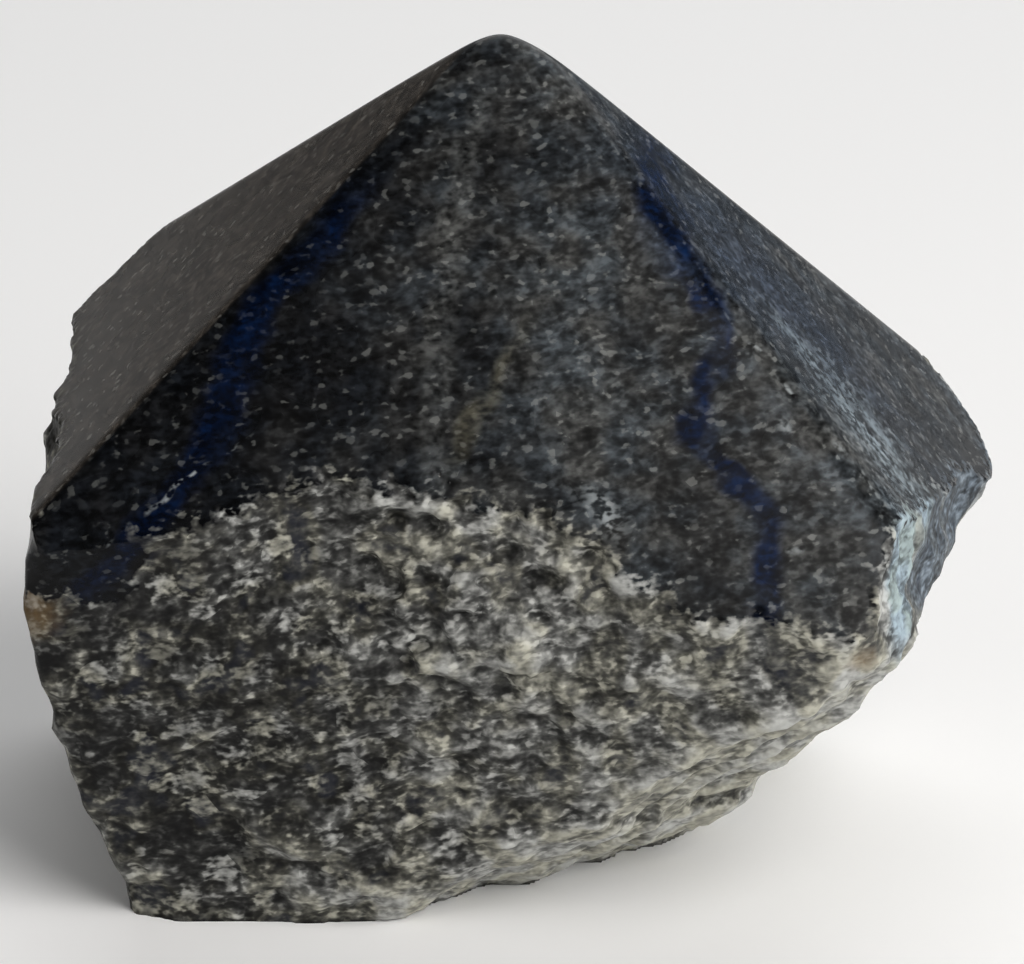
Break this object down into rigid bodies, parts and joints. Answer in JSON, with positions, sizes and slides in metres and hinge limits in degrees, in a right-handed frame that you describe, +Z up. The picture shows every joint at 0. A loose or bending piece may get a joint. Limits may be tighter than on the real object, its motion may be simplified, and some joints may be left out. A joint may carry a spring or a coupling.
{
  "type": "aventurine crystal point",
  "caption": "Blue aventurine stone with polished flat faces meeting in a blunt point, rough broken sides and a sawn flat base to stand on.",
  "frame": {"origin": "middle of the bounding box, on the sawn base", "axes": "+Z up from the sawn base to the tip, +X to the right along the widest extent, -Y out of the front polished face"},
  "size_m": [0.0812, 0.0594, 0.0674],
  "materials": {
    "aventurine": "dark blue-grey quartzite with mica specks and blue veins, polished above and rough grey where broken"
  },
  "bodies": {
    "root": {"aventurine_point": "aventurine"}
  },
  "joints": []
}
